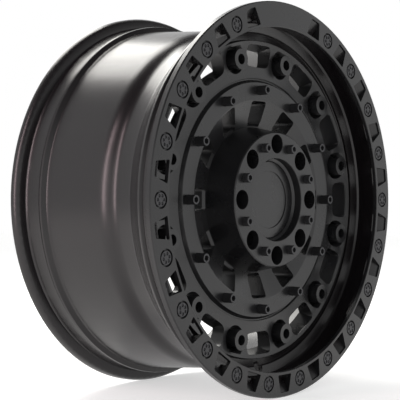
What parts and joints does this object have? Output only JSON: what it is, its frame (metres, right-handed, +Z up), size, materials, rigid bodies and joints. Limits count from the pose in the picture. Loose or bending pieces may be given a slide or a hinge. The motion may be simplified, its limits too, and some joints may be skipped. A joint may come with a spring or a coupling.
{
  "type": "alloy wheel",
  "caption": "Cast alloy pickup wheel: bolted front ring with windows, spoked ring with hollow bosses, raised plate, pierced dish and tall hub, satin black.",
  "frame": {"origin": "on the spin axis, halfway between the front face of the ring and the inboard rim edge", "axes": "+Z up, wheel upright; +Y along the spin axis towards the vehicle, show face towards -Y; +X completes the frame; valve hole at the bottom"},
  "size_m": [0.5985, 0.284, 0.5986],
  "materials": {
    "casting": "satin black paint over cast aluminium",
    "cap": "satin black moulded plastic",
    "spring": "bright drawn wire",
    "fasteners": "black oxide steel"
  },
  "bodies": {
    "root": {"wheel_casting": "casting", "centre_cap": "cap", "cap_ring": "spring", "lip_bolts": "fasteners", "plate_bolts": "fasteners", "hub_bolts": "fasteners"}
  },
  "joints": []
}
